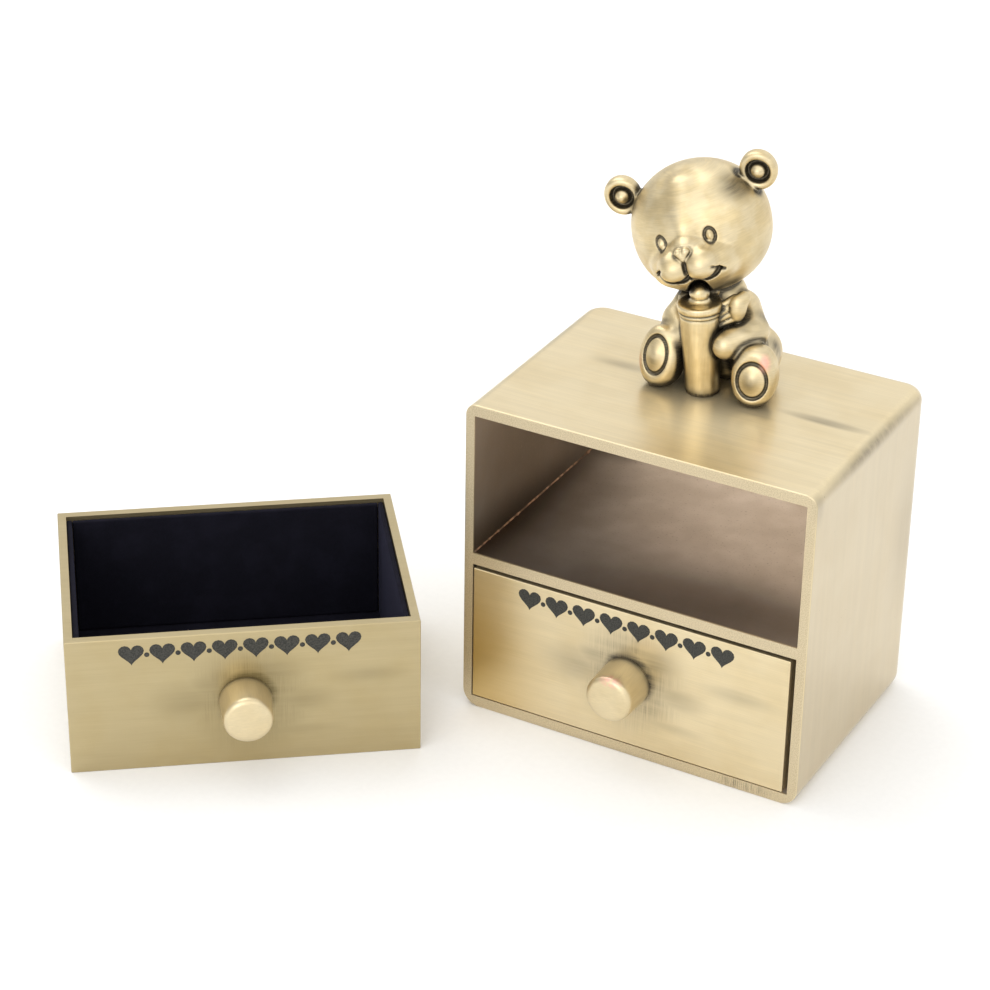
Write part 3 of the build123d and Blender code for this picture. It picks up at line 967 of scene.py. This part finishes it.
def makeBear():
    head, reach = np.array(bearHead["centre"]), np.array(bearHead["reach"])
    low, high = bearBody["reach"]
    tilt = [math.radians(v) for v in (0, bearHead["tilt"], bearHead["turn"])]
    facePatches = [(head + headTurn @ onFace(*at), *rest) for at, *rest in bearHead["patches"]]
    headBrass = castBrass("brassHead", patchesOnTop(facePatches), tilt)
    bodyBrass = castBrass("brassBody", patchesOnTop(bearBody["patches"]), dark=bearBody["dark"],
                          copper=patchesOnTop(bearBody["copper"]))
    castPiece("bear_head", headField, headMarks, head - reach, head + reach, headBrass)
    castPiece("bear_body", bodyField, bodyMarks, np.array(low) - meshStep / 2, high, bodyBrass)
    makeBottle(castBrass("brassBottle", patchesOnTop(bottle["patches"]), **bottle["brushing"]))


makeBear()
print("bear and bottle are made")

# Drawers: where each stands, its shade of gold with painted reflection and painted shade, and the flock
# lining

drawers = {
    # paintedReflection: a deeper gold painted as reflected brass; where it is deeper, from the knob, how far
    # around, how strong and what colour
    "lower": {
        "turn": 0.0,
        "tone": 1.0,
        "paintedReflection": ((-34, 0, -6), (23, 3, 28), 0.95, (0.56, 0.37, 0.10, 1)),
    },
    "upper": {
        "turn": 37.6,
        # this tone paints the whole upper front darker as shade
        "tone": 0.66,
        "paintedReflection": ((0, 0, 0), (200, 200, 200), 0.32, (0.45, 0.34, 0.11, 1)),
    },
}


def drawerPlace(side):
    # turns a drawer's own millimetres, front face on y = 0 and underside on z = 0, into the row's
    low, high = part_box(side + "_tray")
    turn = math.radians(drawers[side]["turn"])
    middle = (low + high) / 2 / mm
    front = middle + Vector((math.sin(turn), -math.cos(turn), 0)) * (trayDepth / 2)
    return Matrix.Translation((front.x, front.y, low.z / mm)) @ Matrix.Rotation(turn, 4, "Z")


def movedBy(matrix, points):
    m = np.array(matrix)
    return np.asarray(points) @ m[:3, :3].T + m[:3, 3]


lining = {
    "round": 0.28,
    "cut": 0.55,           # the size of one face of the pile's mesh
    "pile": 0.05,
    "dark": (0.0035, 0.0035, 0.0055, 1),
    "light": (0.012, 0.0115, 0.021, 1),
    "nap": (0.018, 0.017, 0.03, 1),
    "fibre": 0.09,         # sizes of one fibre and of a patch brushed the other way
    "brushed": 5,
    "rough": 0.95,
    "shine": 0.12,
    "sheen": (0.09, 0.35, (0.35, 0.34, 0.6, 1)),    # how much, how rough, what colour
}


def flockMaterial():
    s = lining
    material, at, _ = newMaterial("navyFlock")
    fibre = noise(at, s["fibre"], 3.0, 0.6)
    colour = mix(fade(fibre, 0.3, 0.75), s["dark"], s["light"])
    colour = mix(fade(noise(at, s["brushed"]), 0.4, 0.75, 0.0, 0.25), colour, s["nap"])
    weight, rough, tint = s["sheen"]
    return paint(material, colour, s["rough"], Specular_IOR_Level=s["shine"], Sheen_Weight=weight,
                 Sheen_Roughness=rough, Sheen_Tint=tint, Normal=relief(fibre, 0.7, 0.06))


def panelMesh(low, high):
    # a covered card panel: rounded edges and an uneven pile
    bm = bmesh.new()
    bmesh.ops.create_cube(bm, size=1)
    size, middle = (high - low) / mm, (high + low) / 2 / mm
    for v in bm.verts:
        v.co = v.co * size + middle
    bmesh.ops.bevel(bm, geom=bm.edges[:], offset=lining["round"], segments=3, profile=0.5, affect="EDGES")
    for axis in range(3):
        way, at = Vector((0, 0, 0)), middle.copy()
        way[axis] = 1
        steps = int(size[axis] / lining["cut"])
        for k in range(1, steps):
            at[axis] = middle[axis] + size[axis] * (k / steps - 0.5)
            everything = bm.verts[:] + bm.edges[:] + bm.faces[:]
            bmesh.ops.bisect_plane(bm, geom=everything, plane_co=at, plane_no=way)
    bm.normal_update()
    push = np.random.default_rng(seed).random(len(bm.verts)) * lining["pile"]
    for v, amount in zip(bm.verts, push):
        v.co -= v.normal * amount
    bmesh.ops.recalc_face_normals(bm, faces=bm.faces)
    points = np.array([v.co for v in bm.verts])
    # sorted, because cutting leaves the faces in another order each time
    faces = sorted([v.index for v in f.verts] for f in bm.faces)
    bm.free()
    return points, faces


def makeLinings():
    flock = flockMaterial()
    home = drawerPlace("lower").inverted()
    for part in ("floor", "left", "right", "front", "back"):
        points, faces = panelMesh(*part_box(f"lower_lining_{part}"))
        points = movedBy(home, points)
        for side in drawers:
            toMesh(f"{side}_flock_{part}", movedBy(drawerPlace(side), points), faces, flock, f"{side}_drawer",
                   [f"{side}_lining_{part}"])


makeLinings()
print("drawers are lined")

# Geometry Nodes: a tree with named inputs repeats small pieces, and the result becomes a plain mesh


def newTree(name, inputs):
    tree = bpy.data.node_groups.new(name, "GeometryNodeTree")
    tree.interface.new_socket("Geometry", in_out="OUTPUT", socket_type="NodeSocketGeometry")
    for label, kind in {"Geometry": "Geometry", **inputs, "Material": "Material"}.items():
        tree.interface.new_socket(label, in_out="INPUT", socket_type="NodeSocket" + kind)
    return tree, add(tree, "NodeGroupInput").outputs


def finishTree(tree, given, pieces):
    real = add(tree, "GeometryNodeRealizeInstances", {"Geometry": pieces}).outputs[0]
    painted = add(tree, "GeometryNodeSetMaterial", {"Geometry": real, "Material": given["Material"]})
    add(tree, "NodeGroupOutput", {"Geometry": painted.outputs[0]})
    return tree


def grown(name, base, tree, values, matrix, body):
    # grows the tree on the base mesh, in millimetres in a drawer's own frame, as a plain mesh
    holder = place(name, base)
    modifier = holder.modifiers.new("made", "NODES")
    modifier.node_group = tree
    sockets = {s.name: s.identifier for s in tree.interface.items_tree if s.in_out == "INPUT"}
    for label, value in values.items():
        modifier[sockets[label]] = value
    bpy.context.view_layer.update()
    ready = holder.evaluated_get(bpy.context.evaluated_depsgraph_get())
    data = bpy.data.meshes.new_from_object(ready)
    bpy.data.objects.remove(holder)
    if len(data.vertices):
        points = movedBy(matrix, [v.co for v in data.vertices])
        data.vertices.foreach_set("co", (points * mm).ravel())
        data.update()
        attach(place(name, data), body)


lint = {
    "length": 1.3,
    "thick": 0.035,
    "count": 26,
    "inset": 1.6,        # from the walls
    "bend": 1.9,
    "lean": (0.5, 0.5, 6.28),
    "shortest": 0.3,
    "colours": ((0.28, 0.29, 0.34, 1), (0.55, 0.42, 0.36, 1)),
    "patch": 1.2,
    "rough": 0.8,
}


def lintTree():
    tree, given = newTree("lintFibres", {
        "Count": "Float", "Fibre length": "Float", "Fibre thickness": "Float", "Seed": "Int"})
    spread = add(tree, "GeometryNodeDistributePointsOnFaces", {
        "Mesh": given["Geometry"], "Density": given["Count"], "Seed": given["Seed"]})
    arc = add(tree, "GeometryNodeCurveArc", {
        "Resolution": 7, "Sweep Angle": lint["bend"], "Radius": given["Fibre length"]})
    ring = add(tree, "GeometryNodeCurvePrimitiveCircle", {
        "Resolution": 4, "Radius": given["Fibre thickness"]})
    fibre = add(tree, "GeometryNodeCurveToMesh", {
        "Curve": arc.outputs["Curve"], "Profile Curve": ring.outputs["Curve"], "Fill Caps": True})
    spin = add(tree, "FunctionNodeRandomValue", {"Max": lint["lean"], "Seed": given["Seed"]},
               data_type="FLOAT_VECTOR")
    # the plain number's lowest is the third input, and the number itself the second output
    size = add(tree, "FunctionNodeRandomValue", {2: lint["shortest"]}, data_type="FLOAT")
    put = add(tree, "GeometryNodeInstanceOnPoints", {
        "Points": spread.outputs["Points"], "Instance": fibre.outputs["Mesh"],
        "Rotation": spin.outputs["Value"], "Scale": size.outputs[1]})
    return finishTree(tree, given, put.outputs["Instances"])


def lintMaterial():
    material, at, _ = newMaterial("lint")
    return paint(material, mix(fade(noise(at, lint["patch"]), 0.35, 0.65), *lint["colours"]), lint["rough"])


def makeLint():
    tree, fluff = lintTree(), lintMaterial()
    low, high = movedBy(drawerPlace("lower").inverted(), [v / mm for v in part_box("lower_lining_floor")])
    (x0, y0), (x1, y1) = low[:2] + lint["inset"], high[:2] - lint["inset"]
    z = high[2] + lint["thick"]
    for number, side in enumerate(drawers):
        base = sheetMesh("lintBase", ((x0, y0, z), (x1, y0, z), (x1, y1, z), (x0, y1, z)))
        grown(f"{side}_lint", base, tree, {
            "Count": lint["count"] / ((x1 - x0) * (y1 - y0)), "Fibre length": lint["length"] / 2,
            "Fibre thickness": lint["thick"], "Seed": seed + number, "Material": fluff},
            drawerPlace(side), f"{side}_drawer")


makeLint()
print("lint is scattered")

# The dark-filled row along each drawer's front: hearts with a bead between them

ornament = {
    "ends": (0.185, 0.795),        # shares of the front's width
    "below": 3.15,                 # its middle, below the drawer's top edge
    "hearts": 8,
    "heartSize": 2.15,
    "heartSides": 28,
    "beadSize": 0.45,
    "beadSides": 14,
    # from its foot in the metal, over a rolled rim, to the filled middle: share of its size, and depth
    "layers": ((1.0, 0.12), (1.0, -0.02), (0.965, -0.05), (0.90, -0.05), (0.86, -0.01), (0.0, -0.01)),
    "fill": {"size": 0.25, "colours": ((0.02, 0.02, 0.017, 1), (0.06, 0.058, 0.048, 1)), "bump": (0.4, 0.03),
             "Metallic": 0.35},
}


def heartPoint(t):
    high = 13 * math.cos(t) - 5 * math.cos(2 * t) - 2 * math.cos(3 * t) - math.cos(4 * t)
    return math.sin(t) ** 3, (high + 2.5) / 16


def markMesh(name, outline, size):
    # a closed filled mark, facing -y
    count, layers = len(outline), ornament["layers"]
    points = [(x * size * share, y, z * size * share) for share, y in layers[:-1] for x, z in outline]
    points.append((0, layers[-1][1], 0))
    last = (len(layers) - 2) * count
    faces = bandFaces(len(layers) - 2, count)
    faces += [(last + k, last + (k + 1) % count, len(points) - 1) for k in range(count)]
    faces.append(tuple(range(count))[::-1])
    data = bpy.data.meshes.new(name)
    data.from_pydata(points, [], faces)
    faceOutward(data)
    return bpy.data.objects.new(name, data)


def rowTree():
    tree, given = newTree("frontRow", {
        "Length": "Float", "Marks": "Int", "Heart": "Object", "Bead": "Object"})
    length, marks = Value(given["Length"]), Value(given["Marks"])
    pitch = calc("DIVIDE", length, marks - 1.0)
    step = add(tree, "ShaderNodeCombineXYZ", {"X": pitch}).outputs[0]
    joined = add(tree, "GeometryNodeJoinGeometry")
    # the beads stand half a step further on, and are one fewer
    for label, shift, fewer in (("Heart", 0.0, 0.0), ("Bead", 0.5, 1.0)):
        begin = add(tree, "ShaderNodeCombineXYZ", {"X": pitch * shift - length * 0.5}).outputs[0]
        line = add(tree, "GeometryNodeMeshLine", {
            "Count": marks - fewer, "Start Location": begin, "Offset": step}, mode="OFFSET")
        mark = add(tree, "GeometryNodeObjectInfo", {"Object": given[label]})
        put = add(tree, "GeometryNodeInstanceOnPoints", {
            "Points": line.outputs["Mesh"], "Instance": mark.outputs["Geometry"]})
        tree.links.new(put.outputs["Instances"], joined.inputs[0])
    return finishTree(tree, given, joined.outputs[0])


def makeRows():
    tree, fill = rowTree(), grainy("darkFill", **ornament["fill"])
    ring = [(math.sin(t), math.cos(t)) for t in around(ornament["beadSides"])]
    hearts = [heartPoint(t) for t in around(ornament["heartSides"])]
    heart = markMesh("heartMark", hearts, ornament["heartSize"])
    bead = markMesh("beadMark", ring, ornament["beadSize"])
    start, end = (share * trayWidth for share in ornament["ends"])
    lift = Matrix.Translation(((start + end - trayWidth) / 2, 0, trayHeight - ornament["below"]))
    for side in drawers:
        base = sheetMesh("rowBase", ((0, 0, 0), (1, 0, 0), (1, 0, 1), (0, 0, 1)))
        facts = {"Length": end - start, "Marks": ornament["hearts"], "Heart": heart, "Bead": bead}
        grown(f"{side}_front_row", base, tree, {**facts, "Material": fill}, drawerPlace(side) @ lift,
              f"{side}_drawer")
    for mark in (heart, bead):
        bpy.data.objects.remove(mark)


makeRows()
print("ornament rows are inlaid")

# The solder line in the upper bay, where the shelf meets the walls

solder = {
    "radius": 0.2,
    "uneven": 0.105,        # the random change from step to step, and how much of it stays
    "keep": 0.7,
    "blobs": (0.10, 1.1),   # how often, and how much thicker
    "thinnest": 0.45,
    "hollow": 0.38,         # how much thinner it is in its middle than along both walls
    "step": 0.45,
    "sides": 5,
    "inset": 0.5,
    "sunk": 0.02,
    "metal": {"size": 1.1, "colours": ((0.30, 0.21, 0.15, 1), (0.62, 0.40, 0.27, 1)),
              "spread": (0.35, 0.62), "rough": (0.55, 0.35), "bump": (0.5, 0.06), "Metallic": 1.0},
}


def filletRing(middle, inward, r):
    # one cut through the line: its corner in the metal, then an arc from the shelf up to the wall
    up = Vector((0, 0, 1))
    made = [middle - (up + inward) * solder["sunk"]]
    for j in range(solder["sides"] + 1):
        a = math.pi / 2 * j / solder["sides"]
        bulge = r * (1 - solder["hollow"] + solder["hollow"] * abs(math.cos(2 * a)))
        made.append(middle + inward * (bulge * math.cos(a)) + up * (bulge * math.sin(a)))
    return made


def makeSolder():
    s, rng = solder, np.random.default_rng(seed)
    x, y0, y1, z = (v / mm for v in (shelfHigh.x, shelfLow.y, shelfHigh.y, shelfHigh.z))
    y0 += s["inset"]
    metal = grainy("copperSolder", **s["metal"])
    # the way along, the way into the bay, the start and the length
    runs = (
        ("left", Vector((0, 1, 0)), Vector((1, 0, 0)), Vector((-x, y0, z)), y1 - y0),
        ("right", Vector((0, 1, 0)), Vector((-1, 0, 0)), Vector((x, y0, z)), y1 - y0),
        ("back", Vector((1, 0, 0)), Vector((0, -1, 0)), Vector((-x, y1, z)), 2 * x),
    )
    often, thicker = s["blobs"]
    ring = s["sides"] + 2
    for name, along, inward, start, length in runs:
        count, drift = int(length / s["step"]), 0.0
        points = []
        for k in range(count + 1):
            drift = s["keep"] * drift + rng.normal(0, s["uneven"])
            blob = thicker if rng.random() < often else 0.0
            r = s["radius"] * max(s["thinnest"], 1 + drift + blob)
            points += filletRing(start + along * (length * k / count), inward, r)
        ends = [tuple(range(ring))[::-1], tuple(range(count * ring, (count + 1) * ring))]
        faces = bandFaces(count, ring) + ends
        made = toMesh(f"solder_line_{name}", points, faces, metal, "cabinet", ())
        faceOutward(made.data)


makeSolder()
print("solder lines are run")

# Finishes of the CAD pieces

bays = {
    "raw": ((0.86, 0.765, 0.665, 1), (0.98, 0.885, 0.79, 1)),
    # the colour of the painted shade in the bays
    "shadeAndStain": (0.066, 0.036, 0.016, 1),
    "speck": (0.30, 0.22, 0.17, 1),
    "sizes": (6, 0.4),      # of a blotch and of a speck
    # where painted shade darkens the raw metal, how far around and how much
    "shadeAndStains": (
        ((-25, 25, 36), (8, 9, 24), 0.8),
        ((2, -32, 31), (80, 38, 9), 1.0),
        ((-31, 0, 48), (7, 70, 50), 1.0),
        ((-31, -12, 31), (18, 44, 9), 0.9),
        ((18, -16, 31), (32, 13, 9), 0.6),
    ),
}

casing = {
    "brushes": ((2, 0, 14), (0, 2, 16), (1, 0, 14)),
    "patches": (
        ((-15.5, 2.8, topHeight), (9, 2.4, 3), 0.4),
        ((22.5, 1.4, topHeight), (10.5, 1.7, 3), 0.8),
        ((-1, -3.0, topHeight), (13, 5, 2), 0.30),
        ((32, -22, topHeight - 1.5), (1.6, 3, 6), 0.35),
        ((-32, 10, topHeight), (3, 14, 2.6), 0.40),
        # along the right top edge: painted shade that dims the edge's highlight
        ((32.2, 0, topHeight - 1.0), (2.2, 28, 2.2), 0.7),
        ((32, 17, 34), (2, 7, 20), 0.25),
        ((-32.3, -23, 32), (1.7, 2, 28), 0.55),
        ((0, -23, 0.2), (34, 2, 1.0), 0.4),
    ),
    # matt grain on the front rims, and scratches across the lower one
    "rim": ((0.47, 0.385, 0.25, 1), (0.66, 0.56, 0.38, 1)),
    "rimGrain": 0.2,
    "scratched": ((22, -23, 1.1), (7, 1, 1.5)),
    # a right side painted darker as shade, with pits
    "shadedFlank": (0.42, 0.35, 0.25, 1),
    "pit": 0.55,
    "hazy": ((7, -9, topHeight), (22, 14, 4)),
}


def within(value, low, high, soften):
    # one between two heights or distances in metres, nothing beyond; soften: over how much, in millimetres
    (lowOut, lowIn), (highIn, highOut) = soften
    return (fade(value, low + lowOut * mm, low + lowIn * mm)
            * fade(value, high + highIn * mm, high + highOut * mm, 1.0, 0.0))


def rawMetal(at):
    blotch, speck = noise(at, bays["sizes"][0], 4.0), noise(at, bays["sizes"][1])
    raw = mix(fade(blotch, 0.3, 0.72), *bays["raw"])
    # painted shade darkens the raw metal in each of these patches
    for centre, radii, share in bays["shadeAndStains"]:
        raw = mix(spot(at, centre, radii) * share, raw, bays["shadeAndStain"])
    return mix(fade(speck, 0.60, 0.75, 0.0, 0.35), raw, bays["speck"])


def casingFinish(at, facing, colour, roughness):
    # inside the bays the metal is raw, with painted shade making it brown; the front rims are matt and
    # grainy; the right side is painted darker as shade
    s, (x, y, z) = casing, parts(at)
    side = fade(calc("ABSOLUTE", x), shelfHigh.x - 0.02 * mm, shelfHigh.x + 0.06 * mm, 1.0, 0.0)
    upright = within(z, casingLow.z, casingHigh.z, ((1.95, 2.1), (-2.1, -1.95)))
    deep = within(y, casingLow.y, shelfHigh.y, ((0.05, 0.45), (-0.05, 0.2)))
    inside = side * upright * deep
    front = fade(y, casingLow.y + 0.02 * mm, casingLow.y + 0.1 * mm, 1.0, 0.0)
    rim = front * fade(facing[1], -0.95, -0.8, 1.0, 0.0)
    matt = mix(fade(noise(at, s["rimGrain"], 3.0), 0.35, 0.65), *s["rim"])
    colour = mix(rim * 0.75, colour, matt)
    scored = spot(at, *s["scratched"]) * fade(lines(at, 2, 6, 0.14, 1.0), 0.5, 0.6)
    colour = mix(calc("MULTIPLY", scored, 0.8, clamp=True), colour, brass["patinaAndShade"])
    shadedFlank = fade(facing[0], 0.7, 0.97)
    pits = shadedFlank * fade(noise(at, s["pit"]), 0.76, 0.8)
    colour = mix(shadedFlank * 0.46, colour, s["shadedFlank"])
    colour = mix(pits * 0.6, colour, brass["patinaAndShade"])
    colour = mix(inside, colour, rawMetal(at))
    metallic = calc("SUBTRACT", brass["metallic"], spot(at, *s["hazy"]) * 0.5)
    return colour, roughness + rim * 0.14 + inside * 0.08, metallic


knobShape = {
    # radius and how far it stands out from the drawer's front, from the bottom of the screw's hole
    "outline": ((0.0, -4.6), (1.25, -4.6), (1.25, 0.0), (4.5, 0.0), (4.47, -0.5), (4.27, -5.8), (4.2, -6.2),
                (4.02, -6.55), (3.7, -6.82), (3.25, -6.96), (2.0, -7.04), (0.0, -7.07)),
    "sides": 96,
    "longest": 0.9,
    "brushes": ((1, 0, 1.2), (0, 1, 6), (2, 1, 6)),
    "shadow": ((8, 1.6, 8), 0.95),
    "tone": 0.97,
    "rough": 0.34,
    "worn": ((0.4, 0.5, 3.8), (3.0, 1.5, 1.7)),    # from its middle, at the front's face
    "wornGrain": 0.7,
}

drawerFront = {
    "brushes": ((1, 0, 9), (0, 1, 10), (2, 0, 9)),
    # the dark round the knob's foot: where its middle is, then radius, reach and strength
    "haloPlace": (0.5, 0, 0.8),
    "halos": ((4.6, 6.6, 1.0), (4.5, 13.0, 0.55)),
    # darker patches further out: from the knob, half sizes, strength
    "darkPatches": (
        ((-9, 0, 0.5), (10, 3, 6.0), 0.4),
        ((-6, 0, 3.0), (6, 3, 4.0), 0.45),
        ((4, 0, 5.0), (9, 3, 6.0), 0.5),
        ((9, 0, -0.5), (8, 3, 3.6), 0.42),
        ((21, 0, 3.5), (9, 3, 2.2), 0.32),
        ((6, 0, -6.5), (13, 3, 1.6), 0.25),
    ),
}


def makeKnob(side, home, material):
    rim = finelyCut(knobShape["outline"], knobShape["longest"]) + [knobShape["outline"][-1]]
    points, faces = revolved(rim, np.zeros(3), (0, 1.0, 0), knobShape["sides"])
    made = toMesh(f"{side}_knob_turned", movedBy(home, points), faces, material, f"{side}_drawer",
                  [f"{side}_knob"])
    faceOutward(made.data)


def rubbedEdge(centre):
    # the plating is worn to copper on one side of a knob's edge
    (x, y, z), radii = knobShape["worn"]
    where = (centre.x + x, knobLow.y / mm + y, centre.z + z)

    def finish(at, facing, colour, roughness):
        worn = fade(noise(at, knobShape["wornGrain"]), 0.3, 0.6)
        return mix(spot(at, where, radii) * worn, colour, brass["copper"]), roughness, brass["metallic"]
    return finish


def paintedReflectionPart(centre, away, radii, strength, paintedReflection):
    # part of a drawer is painted a deeper gold than the rest, as a painted reflection of brass
    def finish(at, facing, colour, roughness):
        share = spot(at, centre + Vector(away), radii) * strength
        return mix(share, colour, paintedReflection), roughness, brass["metallic"]
    return finish


def dressDrawer(side):
    turn, label = math.radians(drawers[side]["turn"]), side.title()
    home = drawerPlace(side) @ Matrix.Translation((0, 0, knobHeight))
    # the finish is laid out in the drawer's own directions
    centre = Matrix.Rotation(-turn, 4, "Z") @ home.translation
    foot = centre + Vector(drawerFront["haloPlace"])
    darkPatches = [(centre + Vector(away), radii, strength) for away, radii, strength in drawerFront["darkPatches"]]
    tray = brushedBrass("brassTray" + label, drawerFront["brushes"], darkPatches, turn, drawers[side]["tone"],
                        halos=[(foot, *rest) for rest in drawerFront["halos"]],
                        special=paintedReflectionPart(centre, *drawers[side]["paintedReflection"]))
    shadow = [(centre, *knobShape["shadow"])]
    knob = brushedBrass("brassKnob" + label, knobShape["brushes"], shadow, turn, knobShape["tone"],
                        knobShape["rough"], special=rubbedEdge(centre) if side == "lower" else None)
    dress(side + "_tray", tray)
    makeKnob(side, home, knob)


screwSteel = {"size": 0.3, "colours": ((0.42, 0.42, 0.42, 1), (0.62, 0.61, 0.6, 1)), "rough": (0.3, 0.5),
              "Metallic": 1.0}


def dressCad():
    plated = brushedBrass("brassCasing", casing["brushes"], casing["patches"], special=casingFinish)
    dress("cabinet_casing", plated)
    dress("divider_shelf", plated)
    for side in drawers:
        dressDrawer(side)
    steel = grainy("screwSteel", **screwSteel)
    for name in ("bear_fixing_screws", "lower_knob_screw", "upper_knob_screw"):
        dress(name, steel)


dressCad()
print("metal is finished")
